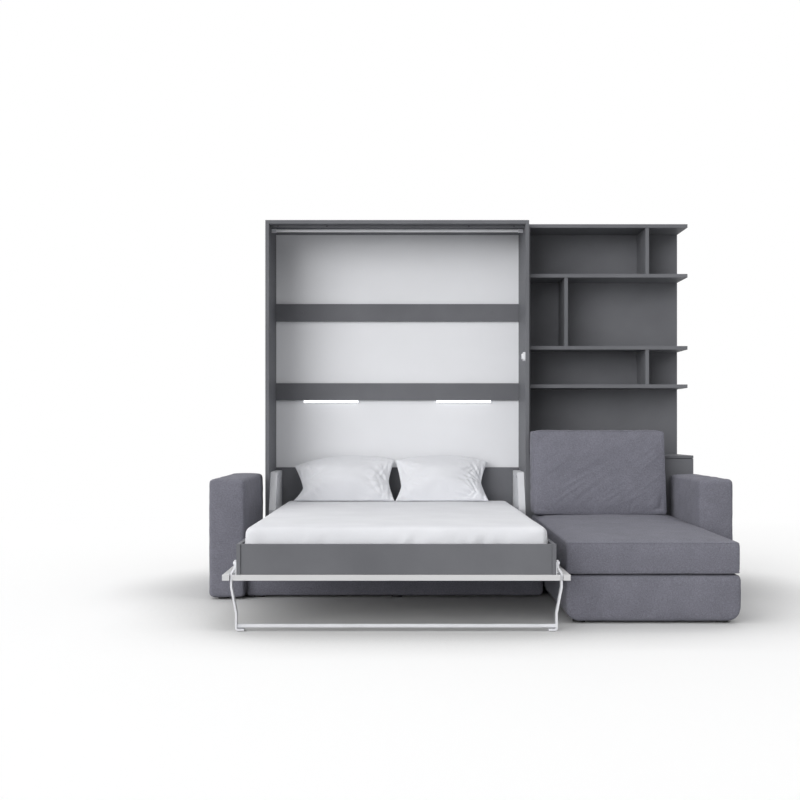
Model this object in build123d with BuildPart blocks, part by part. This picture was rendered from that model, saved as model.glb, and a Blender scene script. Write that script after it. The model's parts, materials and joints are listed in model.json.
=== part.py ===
import os
from math import cos, pi, radians, sin

from build123d import *

# Vertical wall bed with an integrated corner sofa and a bookcase. Millimetres.
# X runs to the right from the middle of the bed, Y towards the wall and Z up.
# The origin is on the floor at the middle of the bed cabinet. u is a distance from the wall.

# Bed cabinet
cab_depth = 450.0
board = 22.0
top_gap = 18.0
edge_break = 0.8
joint_play = 0.2
back_gap = 36.0
back_sheet_t = 4.0
groove_depth = 6.0
groove_play = 0.2
rail_t = 18.0
upper_rail_z = 1599.0
upper_rail_h = 110.0
middle_rail_z = 1100.0
middle_rail_h = 108.0
headboard_z = 336.0
headboard_h = 340.0
wall_hole_r = 4.0
wall_hole_spacing = 1200.0
strip_h = 13.0
strip_depth = 20.0
strip_set_back = 50.0
bar_size = 16.0
bar_wall = 1.5
bar_drop = 9.0
bar_set_back = 153.0
socket_wall = 3.0
socket_length = 28.0
socket_depth = 23.0
socket_play = 0.2

# Reading lights and their switch
led_length = 345.0
led_inset = 176.0
led_h = 16.0
led_depth = 14.0
led_wall = 1.5
switch_z = 1354.0
switch_h = 54.0
switch_width = 30.0
switch_depth = 14.0
switch_set_back = 22.0
switch_recess = 6.0
switch_corner = 12.0
switch_edge = 4.2
button_h = 34.0
button_width = 18.0
button_depth = 12.0
button_travel = 2.0
button_edge = 3.6

# Bed
mattress_width = 1400.0
mattress_length = 2000.0
mattress_t = 177.0
mattress_edge = 26.0
mattress_corner = 60.0
mattress_side_gap = 7.5
mattress_head_gap = 4.0
mattress_foot_gap = 14.0
mattress_head_u = 100.0
soft_gap = 0.3
bed_board = 18.0
bed_board_h = 139.0
footboard_set_back = 6.0
panel_z = 232.0
panel_t = 26.0
panel_foot_lip = 2.0
panel_close_gap = 2.0
panel_head_gap = 10.0
pivot_rise = 92.0
ledger_width = 25.0
ledger_h = 30.0
slat_count = 14
slat_width = 72.0
slat_t = 10.0
slat_play = 1.0
beam_width = 40.0
bracket_leg = 40.0
bracket_t = 3.0
bracket_h = 60.0
pillow_length = 300.0
pillow_t = 130.0
pillow_lean = 30.0
pillow_face_inset = 67.5
pillow_corner = 37.5
pillow_face_corner = 20.0
pillow_u = 175.0
left_pillow_inset = 73.0
right_pillow_inset = 135.0
pillow_meet_x = -15.0
pillow_gap = 4.0

# Lift mechanism in each housing
housing_gap = 3.5
housing_depth = 39.0
housing_wall = 3.0
housing_corner = 12.0
housing_back_gap = 8.0
housing_shoulder = 100.0
housing_rise = 308.0
housing_waist_rise = 84.0
housing_drop = 160.0
pivot_r = 10.0
running_play = 0.05
boss_r = 22.0
boss_length = 10.0
bush_r = 14.0
bush_flange_r = 20.0
bush_flange_t = 2.5
shaft_flange_r = 35.0
shaft_flange_t = 5.0
crank_r = 50.0
crank_t = 8.0
crank_hub_r = 18.0
crank_eye_r = 11.0
crank_gap = 1.0
pin_r = 5.0
pin_length = 12.5
rod_r = 4.0
yoke_t = 10.0
yoke_gap = 1.5
yoke_border = 8.0
slot_play_z = 2.5
slot_play_u = 1.7
slot_flat = 0.75
spring_r = 9.5
spring_bore_r = 7.5
spring_rise = 59.6
spring_length = 165.0
gland_t = 12.0
piston_r = 7.2
piston_t = 10.0
piston_set_back = 8.0
anchor_rise = 20.0
anchor_eye_r = 11.0
anchor_head_r = 8.0
anchor_head_t = 5.0
fixing_inset_u = 26.0
fixing_inset_z = 38.0
fixing_r = 4.0

# Fold-out leg
leg_set_back = 28.0
leg_pivot_rise = 49.0
strap_t = 9.0
strap_width = 32.0
strap_bend_r = 30.0
strap_straight = 16.0
strap_foot_bend_r = 9.0
strap_belly_out = 25.5
strap_foot_out = 3.0
strap_foot_length = 36.0
strap_head = 16.0
strap_head_flat = 1.6
strap_belly_drop = 32.0
strap_foot_rise = 50.0
strap_side_gap = 0.3
leg_plate_t = 3.0
leg_plate_length = 88.0
leg_plate_h = 58.0
leg_plate_flange = 28.0
leg_bolt_head_r = 9.0
leg_bolt_head_t = 4.5
notch_width = 14.0
notch_back_gap = 6.0
glide_h = 2.5
cross_bar_gap = 0.5
cross_bar_h = 15.4
cross_bar_depth = 20.0
cross_bar_wall = 1.5

# Bookcase and its base cabinet
case_width = 983.0
case_depth = 308.0
case_back_gap = 22.0
case_back_t = 18.0
top_bay_h = 282.0
upper_bay_h = 418.3
lower_bay_h = 212.7
inner_bay_width = 231.0
outer_bay_width = 727.0
divider_set_back = 4.0
base_height = 760.0
base_depth = 450.0
base_top_t = 16.0
shadow_gap = 3.0
base_board = 18.0
plinth_h = 60.0
plinth_set_back = 40.0
base_back_t = 4.0

# Sofa
foot_h = 10.0
foot_r = 30.0
foot_inset = 70.0
left_arm_width = 185.0
left_arm_gap = 37.0
left_arm_back_u = 300.0
arm_lead = 65.0
arm_height = 640.0
arm_crown = 10.0
arm_edge = 24.0
right_arm_width = 178.0
seat_base_set_back = 20.0
seat_base_depth = 620.0
seat_base_gap = 12.0
sofa_gap = 0.4
sofa_edge = 18.0
chaise_side_gap = 10.0
chaise_width = 825.0
chaise_length = 1473.6
chaise_base_top = 230.0
cushion_t = 160.0
cushion_crown = 14.0
cushion_edge = 26.0
back_cushion_width = 785.0
back_cushion_height = 518.0
back_cushion_lean = 49.6
back_cushion_foot_t = 175.0
back_cushion_head_t = 150.0
back_cushion_edge = 48.0
back_cushion_bulge = 28.0

# Places worked out from the sizes above
back_face = back_gap + back_sheet_t
rail_face = back_face + rail_t
panel_top = panel_z + panel_t
pivot_z = panel_top + pivot_rise
pivot_u = cab_depth + panel_close_gap - pivot_rise
half_bed_in = mattress_width / 2 + mattress_side_gap
half_bed = half_bed_in + bed_board
housing_x = half_bed + housing_gap
half_inside = housing_x + housing_depth
half_width = half_inside + board
bed_head_u = mattress_head_u - mattress_head_gap - bed_board
foot_in_u = mattress_head_u + mattress_length + mattress_foot_gap
foot_out_u = foot_in_u + bed_board + footboard_set_back
panel_foot_u = foot_out_u + panel_foot_lip
panel_head_u = cab_depth + panel_head_gap
bed_top = panel_top + bed_board_h
slat_z = panel_top + ledger_h
mattress_z = slat_z + slat_t + soft_gap
mattress_top = mattress_z + mattress_t
under_top = pivot_z + panel_foot_u - pivot_u + top_gap
cab_height = under_top + board
led_centre_x = half_inside - led_inset - led_length / 2
bar_u = cab_depth - bar_set_back
housing_back_u = rail_face + housing_back_gap
housing_shoulder_u = cab_depth - housing_shoulder
housing_top_z = pivot_z + housing_rise
housing_waist_z = pivot_z + housing_waist_rise
housing_foot_z = pivot_z - housing_drop
boss_end_x = housing_x + housing_wall + boss_length
crank_x = boss_end_x + crank_gap
pin_x = crank_x + crank_t
yoke_x = pin_x + yoke_gap
spring_x = yoke_x + yoke_t / 2
crank_start = radians(135)
pin_rest_u = pivot_u + crank_r * cos(crank_start)
pin_rest_z = pivot_z + crank_r * sin(crank_start)
pin_sway = crank_r * (1 - sin(pi / 4))
spring_u = pin_rest_u - pin_sway / 2
spring_foot_z = pin_rest_z + spring_rise
spring_head_z = spring_foot_z + spring_length
anchor_z = spring_head_z + anchor_rise
leg_u = panel_foot_u - leg_set_back
leg_z = panel_top + leg_pivot_rise
strap_head_x = half_bed + leg_plate_t + strap_side_gap + strap_t / 2
strap_belly_x = half_bed + strap_belly_out
strap_foot_x = half_bed + strap_foot_out
cross_bar_z = glide_h + strap_t / 2 + strap_foot_bend_r + cross_bar_gap
case_x = half_width
case_end_x = half_width + case_width
case_back_face = case_back_gap + case_back_t
upper_shelf_top = under_top - top_bay_h
middle_shelf_top = upper_shelf_top - board - upper_bay_h
lower_shelf_top = middle_shelf_top - board - lower_bay_h
inner_divider_x = case_x + inner_bay_width
outer_divider_x = case_x + outer_bay_width
left_arm_inner_x = -half_width - left_arm_gap
left_arm_outer_x = left_arm_inner_x - left_arm_width
seat_base_back_u = cab_depth + seat_base_set_back
seat_base_front_u = seat_base_back_u + seat_base_depth
seat_base_top = panel_z - seat_base_gap
arm_front_u = seat_base_front_u + arm_lead
chaise_x = half_width + chaise_side_gap
chaise_back_u = base_depth + sofa_gap
chaise_front_u = chaise_back_u + chaise_length
chaise_top = chaise_base_top + soft_gap + cushion_t
right_arm_x = chaise_x + chaise_width + 2 * sofa_gap

os.makedirs("parts", exist_ok=True)
sides = (("left", -1), ("right", 1))


def y_at(u):
    return cab_depth / 2 - u


def save(part, name):
    part.label = name
    export_step(part, f"parts/{name}.step")


def middle(span):
    return (span[0] + span[1]) / 2


def slab(x, u, z):
    """Sharp block between two values of x, u and z, added to the open part."""
    with BuildSketch(Plane.XY.offset(z[0])) as outline:
        with Locations((middle(x), y_at(middle(u)))):
            Rectangle(abs(x[1] - x[0]), abs(u[1] - u[0]))
    extrude(outline.sketch, amount=z[1] - z[0])


def make_board(name, x, u, z):
    """Flat board with its edges broken."""
    with BuildPart() as piece:
        slab(x, u, z)
        chamfer(piece.edges(), edge_break)
    save(piece.part, name)


def make_boards(name, boxes):
    """Several separate boards in one node."""
    with BuildPart() as piece:
        for x, u, z in boxes:
            slab(x, u, z)
        chamfer(piece.edges(), edge_break)
    save(piece.part, name)


def round_bar(x, u, z, r, length, mode=Mode.ADD):
    """Cylinder along X from x, its length signed, added to or cut from the open part."""
    with BuildSketch(Plane.YZ.offset(x)) as section:
        with Locations((y_at(u), z)):
            Circle(r)
    extrude(section.sketch, amount=length, mode=mode)


def wall_holes(z, depth):
    """Pair of fixing holes through a piece that lies against the wall."""
    with BuildSketch(Plane.XZ.offset(-y_at(0))) as pattern:
        with Locations((0, z)):
            with GridLocations(wall_hole_spacing, 1, 2, 1):
                Circle(wall_hole_r)
    extrude(pattern.sketch, amount=depth, mode=Mode.SUBTRACT)


# Cabinet sides, grooved for the back sheet

for side, sx in sides:
    with BuildPart() as cab_side:
        slab((sx * half_inside, sx * half_width), (0, cab_depth), (0, under_top))
        chamfer(cab_side.edges(), edge_break)
        with BuildSketch(Plane.XY):
            with Locations((sx * (half_inside + groove_depth / 2), y_at(back_gap + back_sheet_t / 2))):
                Rectangle(groove_depth, back_sheet_t + 2 * groove_play)
        extrude(amount=under_top, mode=Mode.SUBTRACT)
    save(cab_side.part, f"cabinet_{side}_side")

make_board("cabinet_top", (-half_width, half_width), (0, cab_depth), (under_top, cab_height))
make_board("cabinet_bottom", (-half_inside, half_inside), (0, cab_depth), (0, board))

# Back sheet in its grooves, the rails on its face and the battens behind them

rail_spans = {
    "upper_back_rail": (upper_rail_z, upper_rail_z + upper_rail_h),
    "middle_back_rail": (middle_rail_z, middle_rail_z + middle_rail_h),
    "headboard_rail": (headboard_z, headboard_z + headboard_h),
}
upper_hole_z = upper_rail_z + upper_rail_h / 2
lower_hole_z = headboard_z + headboard_h / 2
drilled = {"upper_back_rail": upper_hole_z, "headboard_rail": lower_hole_z}
half_sheet = half_inside + groove_depth - groove_play

with BuildPart() as back_sheet:
    slab((-half_sheet, half_sheet), (back_gap, back_face), (board, under_top))
    for hole_z in drilled.values():
        wall_holes(hole_z, back_face)
save(back_sheet.part, "back_sheet")

for rail_name, span in rail_spans.items():
    with BuildPart() as rail:
        slab((-half_inside, half_inside), (back_face, rail_face), span)
        chamfer(rail.edges(), edge_break)
        if rail_name in drilled:
            wall_holes(drilled[rail_name], rail_face)
    save(rail.part, rail_name)

with BuildPart() as wall_battens:
    for span in rail_spans.values():
        slab((-half_inside, half_inside), (0, back_gap), span)
    for hole_z in drilled.values():
        wall_holes(hole_z, back_gap)
save(wall_battens.part, "wall_battens")

# Stop strip under the top, and the steel bar that stiffens the opening

strip_u = cab_depth - strip_set_back
make_board(
    "stop_strip",
    (-half_inside, half_inside),
    (strip_u - strip_depth, strip_u),
    (under_top - strip_h, under_top),
)

bar_z = under_top - bar_drop - bar_size / 2
half_bar = half_inside - socket_length + socket_depth
with BuildPart() as stiffener_bar:
    with BuildSketch(Plane.YZ.offset(-half_bar)):
        with Locations((y_at(bar_u), bar_z)):
            RectangleRounded(bar_size, bar_size, 2 * bar_wall)
            RectangleRounded(bar_size - 2 * bar_wall, bar_size - 2 * bar_wall, bar_wall, mode=Mode.SUBTRACT)
    extrude(amount=2 * half_bar)
save(stiffener_bar.part, "stiffener_bar")

socket_size = bar_size + 2 * socket_play
with BuildPart() as bar_sockets:
    for side, sx in sides:
        with BuildSketch(Plane.YZ.offset(sx * half_inside)):
            with Locations((y_at(bar_u), bar_z)):
                RectangleRounded(socket_size + 2 * socket_wall, socket_size + 2 * socket_wall, socket_wall)
        extrude(amount=-sx * socket_length)
        with BuildSketch(Plane.YZ.offset(sx * (half_inside - socket_length))):
            with Locations((y_at(bar_u), bar_z)):
                RectangleRounded(socket_size, socket_size, 2 * bar_wall)
        extrude(amount=sx * socket_depth, mode=Mode.SUBTRACT)
save(bar_sockets.part, "bar_sockets")

# Reading lights: an open channel under the middle rail, with a diffuser in it

led_back = rail_face - led_depth
led_top = middle_rail_z
led_xs = (-led_centre_x, led_centre_x)
channel_u = (led_back, rail_face)
channel_z = (led_top - led_h, led_top)
with BuildPart() as led_channels:
    for x in led_xs:
        with BuildSketch(Plane.YZ.offset(x - led_length / 2)):
            with Locations((y_at(middle(channel_u)), middle(channel_z))):
                Rectangle(led_depth, led_h)
            with Locations((y_at(middle(channel_u) + led_wall), middle(channel_z) - led_wall)):
                Rectangle(led_depth, led_h, mode=Mode.SUBTRACT)
        extrude(amount=led_length)
save(led_channels.part, "led_channels")

with BuildPart() as led_diffusers:
    for x in led_xs:
        with BuildSketch(Plane.YZ.offset(x - led_length / 2)):
            with BuildLine():
                Polyline(
                    (y_at(led_back + led_wall), led_top - led_wall),
                    (y_at(rail_face), led_top - led_wall),
                    (y_at(rail_face), led_top - led_h / 2),
                    (y_at(led_back + led_depth / 2), led_top - led_h),
                    (y_at(led_back + led_wall), led_top - led_h),
                    close=True,
                )
            make_face()
        extrude(amount=led_length)
save(led_diffusers.part, "led_diffusers")

# Switch on the right side's inner face: a rounded body with a push button

switch_u = cab_depth - switch_set_back
switch_face_x = half_inside - switch_depth
with BuildPart() as switch_body:
    with BuildSketch(Plane.YZ.offset(half_inside)):
        with Locations((y_at(switch_u), switch_z)):
            RectangleRounded(switch_width, switch_h, switch_corner)
    extrude(amount=-switch_depth)
    fillet(switch_body.faces().sort_by(Axis.X)[0].edges(), switch_edge)
    with BuildSketch(Plane.YZ.offset(switch_face_x)):
        with Locations((y_at(switch_u), switch_z)):
            SlotOverall(button_h + 2 * soft_gap, button_width + 2 * soft_gap, rotation=90)
    extrude(amount=switch_recess, mode=Mode.SUBTRACT)
save(switch_body.part, "switch_body")

button_end_x = switch_face_x + switch_recess - button_travel - soft_gap
with BuildPart() as switch_button:
    with BuildSketch(Plane.YZ.offset(button_end_x)):
        with Locations((y_at(switch_u), switch_z)):
            SlotOverall(button_h, button_width, rotation=90)
    extrude(amount=-button_depth)
    fillet(switch_button.faces().sort_by(Axis.X)[0].edges(), button_edge)
save(switch_button.part, "switch_button")

# Lift housings: folded steel covers, open towards the cabinet side, with a boss for the pivot

fixings = (
    (housing_back_u + fixing_inset_u, housing_top_z - fixing_inset_z),
    (housing_back_u + fixing_inset_u, housing_foot_z + fixing_inset_z),
    (cab_depth - fixing_inset_u, housing_foot_z + fixing_inset_z),
)
for side, sx in sides:
    with BuildPart() as housing:
        with BuildSketch(Plane.YZ.offset(sx * housing_x)) as housing_profile:
            with BuildLine():
                Polyline(
                    (y_at(housing_back_u), housing_foot_z),
                    (y_at(cab_depth), housing_foot_z),
                    (y_at(cab_depth), housing_waist_z),
                    (y_at(housing_shoulder_u), housing_top_z),
                    (y_at(housing_back_u), housing_top_z),
                    close=True,
                )
            make_face()
            fillet(housing_profile.vertices(), housing_corner)
        extrude(amount=sx * housing_depth)
        open_face = housing.faces().sort_by(lambda face: sx * face.center().X)[-1]
        offset(amount=-housing_wall, openings=open_face)
        round_bar(sx * (housing_x + housing_wall), pivot_u, pivot_z, boss_r, sx * boss_length)
        round_bar(sx * housing_x, pivot_u, pivot_z, bush_r, sx * (housing_wall + boss_length), Mode.SUBTRACT)
        round_bar(sx * housing_x, spring_u, anchor_z, pin_r, sx * housing_wall, Mode.SUBTRACT)
        for u, z in fixings:
            round_bar(sx * housing_x, u, z, fixing_r, sx * housing_wall, Mode.SUBTRACT)
    save(housing.part, f"{side}_lift_housing")

# Bolts that hold the housings to the cabinet sides, and flanged bushes for the pivots

with BuildPart() as housing_bolts:
    for side, sx in sides:
        for u, z in fixings:
            round_bar(sx * housing_x, u, z, anchor_head_r, -sx * anchor_head_t / 2)
            round_bar(sx * housing_x, u, z, fixing_r - running_play, sx * housing_depth)
save(housing_bolts.part, "housing_bolts")

with BuildPart() as pivot_bushes:
    for side, sx in sides:
        round_bar(sx * housing_x, pivot_u, pivot_z, bush_flange_r, -sx * bush_flange_t)
        round_bar(sx * housing_x, pivot_u, pivot_z, bush_r, sx * (housing_wall + boss_length))
        bore_length = bush_flange_t + housing_wall + boss_length
        bore_x = housing_x - bush_flange_t
        round_bar(sx * bore_x, pivot_u, pivot_z, pivot_r + running_play, sx * bore_length, Mode.SUBTRACT)
save(pivot_bushes.part, "pivot_bushes")

# Gas springs: a cylinder hung on an anchor bolt, and a rod that slides out of its foot

anchor_end_x = spring_x + yoke_t / 2
with BuildPart() as anchor_bolts:
    for side, sx in sides:
        round_bar(sx * housing_x, spring_u, anchor_z, anchor_head_r, -sx * anchor_head_t / 2)
        round_bar(sx * housing_x, spring_u, anchor_z, pin_r - running_play, sx * (anchor_end_x - housing_x))
save(anchor_bolts.part, "anchor_bolts")

for side, sx in sides:
    with BuildPart() as cylinder:
        with BuildSketch(Plane.XY.offset(spring_foot_z)):
            with Locations((sx * spring_x, y_at(spring_u))):
                Circle(spring_r)
        extrude(amount=spring_length)
        with BuildSketch(Plane.YZ.offset(sx * (spring_x - yoke_t / 2))):
            with Locations((y_at(spring_u), anchor_z)):
                Circle(anchor_eye_r)
            with Locations((y_at(spring_u), anchor_z - anchor_rise / 2)):
                Rectangle(anchor_eye_r, anchor_rise)
        extrude(amount=sx * yoke_t)
        with BuildSketch(Plane.XY.offset(spring_foot_z + gland_t)):
            with Locations((sx * spring_x, y_at(spring_u))):
                Circle(spring_bore_r)
        extrude(amount=spring_length - gland_t - gland_t / 2, mode=Mode.SUBTRACT)
        with BuildSketch(Plane.XY.offset(spring_foot_z)):
            with Locations((sx * spring_x, y_at(spring_u))):
                Circle(rod_r + running_play)
        extrude(amount=gland_t, mode=Mode.SUBTRACT)
        eye_x = sx * (spring_x - yoke_t / 2)
        round_bar(eye_x, spring_u, anchor_z, pin_r, sx * yoke_t, Mode.SUBTRACT)
    save(cylinder.part, f"{side}_gas_cylinder")

slot_h = 2 * (pin_r + slot_play_z)
slot_width = pin_sway + 2 * (pin_r + slot_play_u)
piston_top = spring_head_z - gland_t / 2 - piston_set_back
for side, sx in sides:
    with BuildPart() as rod:
        with BuildSketch(Plane.XY.offset(pin_rest_z + slot_h / 2)):
            with Locations((sx * spring_x, y_at(spring_u))):
                Circle(rod_r)
        extrude(amount=piston_top - pin_rest_z - slot_h / 2)
        with BuildSketch(Plane.XY.offset(piston_top - piston_t)):
            with Locations((sx * spring_x, y_at(spring_u))):
                Circle(piston_r)
        extrude(amount=piston_t)
        with BuildSketch(Plane.YZ.offset(sx * yoke_x)):
            with Locations((y_at(spring_u), pin_rest_z)):
                RectangleRounded(slot_width + 2 * yoke_border, slot_h + 2 * yoke_border, yoke_border)
                RectangleRounded(slot_width, slot_h, slot_h / 2 - slot_flat, mode=Mode.SUBTRACT)
        extrude(amount=sx * yoke_t)
    save(rod.part, f"{side}_gas_rod")

# Bed frame: side boards on pivot shafts, footboard, head rail and the front panel under them

for side, sx in sides:
    with BuildPart() as bed_side:
        slab((sx * half_bed_in, sx * half_bed), (bed_head_u, foot_out_u), (panel_top, bed_top))
        chamfer(bed_side.edges(), edge_break)
        round_bar(sx * half_bed_in, pivot_u, pivot_z, pivot_r + running_play, sx * bed_board, Mode.SUBTRACT)
    save(bed_side.part, f"bed_{side}_side")

bed_inside = (-half_bed_in, half_bed_in)
make_board("footboard", bed_inside, (foot_in_u, foot_in_u + bed_board), (panel_top, bed_top))
make_board("head_rail", bed_inside, (bed_head_u, bed_head_u + bed_board), (panel_top, bed_top))

notch_u = leg_u - strap_width / 2 - notch_back_gap
with BuildPart() as front_panel:
    slab((-half_width, half_width), (panel_head_u, panel_foot_u), (panel_z, panel_top))
    chamfer(front_panel.edges(), edge_break)
    for side, sx in sides:
        with BuildSketch(Plane.XY.offset(panel_z)):
            with Locations((sx * strap_belly_x, y_at(middle((notch_u, panel_foot_u))))):
                Rectangle(notch_width, panel_foot_u - notch_u)
        extrude(amount=panel_t, mode=Mode.SUBTRACT)
save(front_panel.part, "front_panel")

shaft_end_x = pin_x
with BuildPart() as pivot_shafts:
    for side, sx in sides:
        round_bar(sx * half_bed_in, pivot_u, pivot_z, shaft_flange_r, -sx * shaft_flange_t)
        round_bar(sx * half_bed_in, pivot_u, pivot_z, pivot_r, sx * (shaft_end_x - half_bed_in))
save(pivot_shafts.part, "pivot_shafts")

with BuildPart() as cranks:
    for side, sx in sides:
        with BuildSketch(Plane.YZ.offset(sx * crank_x)):
            with Locations((y_at(pivot_u), pivot_z)):
                Circle(crank_hub_r)
            with Locations((y_at(pin_rest_u), pin_rest_z)):
                Circle(crank_eye_r)
            make_hull()
        extrude(amount=sx * crank_t)
        round_bar(sx * crank_x, pivot_u, pivot_z, pivot_r + running_play, sx * crank_t, Mode.SUBTRACT)
        round_bar(sx * pin_x, pin_rest_u, pin_rest_z, pin_r, sx * pin_length)
save(cranks.part, "cranks")

# Slatted base: ledgers and a beam carry the slats, and steel angles hold the corners

ledger_x = half_bed_in - ledger_width
bed_length_in = (bed_head_u + bed_board, foot_in_u)
make_boards(
    "slat_ledgers",
    [((sx * ledger_x, sx * half_bed_in), bed_length_in, (panel_top, slat_z)) for side, sx in sides],
)
make_board("centre_beam", (-beam_width / 2, beam_width / 2), bed_length_in, (panel_top, slat_z))

slat_length = 2 * (half_bed_in - slat_play)
slat_room = bed_length_in[1] - bed_length_in[0] - 2 * bracket_leg
slat_pitch = (slat_room - slat_width) / (slat_count - 1)
with BuildPart() as slats:
    with BuildSketch(Plane.XY.offset(slat_z)):
        with Locations((0, y_at(middle(bed_length_in)))):
            with GridLocations(1, slat_pitch, 1, slat_count):
                RectangleRounded(slat_length, slat_width, slat_t / 2)
    extrude(amount=slat_t)
save(slats.part, "slats")

with BuildPart() as corner_angles:
    for side, sx in sides:
        for end_u, su in ((bed_length_in[0], 1), (bed_length_in[1], -1)):
            corner = (sx * half_bed_in, y_at(end_u))
            with BuildSketch(Plane.XY.offset(slat_z + slat_t)):
                with BuildLine():
                    Polyline(
                        corner,
                        (corner[0] - sx * bracket_leg, corner[1]),
                        (corner[0] - sx * bracket_leg, corner[1] - su * bracket_t),
                        (corner[0] - sx * bracket_t, corner[1] - su * bracket_t),
                        (corner[0] - sx * bracket_t, corner[1] - su * bracket_leg),
                        (corner[0], corner[1] - su * bracket_leg),
                        close=True,
                    )
                make_face()
            extrude(amount=bracket_h)
save(corner_angles.part, "corner_angles")

# Mattress and the two pillows that lean back on it

mattress_u = (mattress_head_u, mattress_head_u + mattress_length)
with BuildPart() as mattress:
    with BuildSketch(Plane.XY.offset(mattress_z)):
        with Locations((0, y_at(middle(mattress_u)))):
            RectangleRounded(mattress_width, mattress_length, mattress_corner)
    extrude(amount=mattress_t)
    fillet(mattress.faces().sort_by(Axis.Z)[-1].edges(), mattress_edge)
    fillet(mattress.faces().sort_by(Axis.Z)[0].edges(), mattress_edge)
save(mattress.part, "mattress")

lean = radians(pillow_lean)
pillow_z = mattress_top + soft_gap + pillow_length / 2 * cos(lean)
pillow_spans = {
    "left_pillow": (left_pillow_inset - mattress_width / 2, pillow_meet_x - pillow_gap / 2),
    "right_pillow": (pillow_meet_x + pillow_gap / 2, mattress_width / 2 - right_pillow_inset),
}
pillow_layers = (
    (-pillow_t / 2, pillow_face_inset, pillow_face_corner),
    (0, 0, pillow_corner),
    (pillow_t / 2, pillow_face_inset, pillow_face_corner),
)
for pillow_name, span in pillow_spans.items():
    face_normal = (0, -cos(lean), sin(lean))
    seam_plane = Plane(origin=(middle(span), y_at(pillow_u), pillow_z), x_dir=(1, 0, 0), z_dir=face_normal)
    with BuildPart() as pillow:
        for rise, inset, corner in pillow_layers:
            with BuildSketch(seam_plane.offset(rise)):
                RectangleRounded(span[1] - span[0] - 2 * inset, pillow_length - 2 * inset, corner)
        loft(ruled=True)
    save(pillow.part, pillow_name)

# Fold-out leg: bent straps on bolts at the foot of the bed, joined by a cross bar

for side, sx in sides:
    with BuildPart() as strap:
        with BuildSketch(Plane.XZ.offset(-y_at(leg_u))):
            with BuildLine() as strap_path:
                FilletPolyline(
                    (sx * strap_head_x, leg_z + strap_head),
                    (sx * strap_head_x, leg_z - strap_straight),
                    (sx * strap_belly_x, panel_top + notch_back_gap),
                    (sx * strap_belly_x, panel_z - strap_belly_drop),
                    (sx * strap_foot_x, cross_bar_z + cross_bar_h + strap_foot_rise),
                    (sx * strap_foot_x, glide_h + strap_t / 2),
                    (sx * (strap_foot_x - strap_foot_length), glide_h + strap_t / 2),
                    radius=[strap_bend_r] * 4 + [strap_foot_bend_r],
                )
            trace(line_width=strap_t)
        extrude(amount=strap_width / 2, both=True)
        head_edges = strap.edges().filter_by(Axis.X).group_by(Axis.Z)[-1]
        fillet(head_edges, strap_width / 2 - strap_head_flat)
        bolt_hole_x = strap_head_x - strap_t / 2
        round_bar(sx * bolt_hole_x, leg_u, leg_z, pin_r + running_play, sx * strap_t, Mode.SUBTRACT)
    save(strap.part, f"{side}_leg_strap")

half_cross_bar = strap_foot_x - strap_t / 2
with BuildPart() as leg_cross_bar:
    with BuildSketch(Plane.YZ.offset(-half_cross_bar)):
        with Locations((y_at(leg_u), cross_bar_z + cross_bar_h / 2)):
            RectangleRounded(cross_bar_depth, cross_bar_h, 2 * cross_bar_wall)
            RectangleRounded(
                cross_bar_depth - 2 * cross_bar_wall,
                cross_bar_h - 2 * cross_bar_wall,
                cross_bar_wall,
                mode=Mode.SUBTRACT,
            )
    extrude(amount=2 * half_cross_bar)
save(leg_cross_bar.part, "leg_cross_bar")

with BuildPart() as leg_glides:
    for side, sx in sides:
        with BuildSketch(Plane.XY):
            with Locations((sx * (strap_foot_x - strap_foot_length / 2), y_at(leg_u))):
                RectangleRounded(strap_foot_length - strap_t, strap_width - strap_t, strap_t / 2)
        extrude(amount=glide_h)
save(leg_glides.part, "leg_glides")

# Leg plates on the bed's sides, with a flange on the panel, and the bolts that the straps turn on

plate_u = (foot_out_u - leg_plate_length, foot_out_u)
with BuildPart() as leg_plates:
    for side, sx in sides:
        plate_x = (sx * half_bed, sx * (half_bed + leg_plate_t))
        flange_x = (sx * half_bed, sx * (half_bed + leg_plate_flange))
        slab(plate_x, plate_u, (panel_top, panel_top + leg_plate_h))
        slab(flange_x, (plate_u[0], notch_u), (panel_top, panel_top + leg_plate_t))
save(leg_plates.part, "leg_plates")

with BuildPart() as leg_bolts:
    for side, sx in sides:
        bolt_x = half_bed + leg_plate_t
        shank = strap_t + 2 * strap_side_gap
        round_bar(sx * bolt_x, leg_u, leg_z, pin_r, sx * shank)
        round_bar(sx * (bolt_x + shank), leg_u, leg_z, leg_bolt_head_r, sx * leg_bolt_head_t)
save(leg_bolts.part, "leg_bolts")

# Bookcase: left side, back, top, shelves and the dividers that stand between them

make_board("bookcase_left_side", (case_x, case_x + board), (0, case_depth), (base_height, under_top))
make_board(
    "bookcase_back",
    (case_x + board, case_end_x),
    (case_back_gap, case_back_face),
    (base_height, under_top),
)
make_board("bookcase_top", (case_x, case_end_x), (0, case_depth), (under_top, cab_height))

shelf_x = (case_x + board, case_end_x)
shelf_u = (case_back_face, case_depth)
shelf_tops = (upper_shelf_top, middle_shelf_top, lower_shelf_top)
make_boards("shelves", [(shelf_x, shelf_u, (top - board, top)) for top in shelf_tops])

divider_u = (case_back_face, case_depth - divider_set_back)
make_boards(
    "shelf_dividers",
    [
        ((outer_divider_x, outer_divider_x + board), divider_u, (upper_shelf_top, under_top)),
        ((inner_divider_x, inner_divider_x + board), divider_u, (middle_shelf_top, upper_shelf_top - board)),
        ((outer_divider_x, outer_divider_x + board), divider_u, (lower_shelf_top, middle_shelf_top - board)),
    ],
)

# Base cabinet: a thin top over a shadow gap, a front, and the carcase behind it

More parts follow.
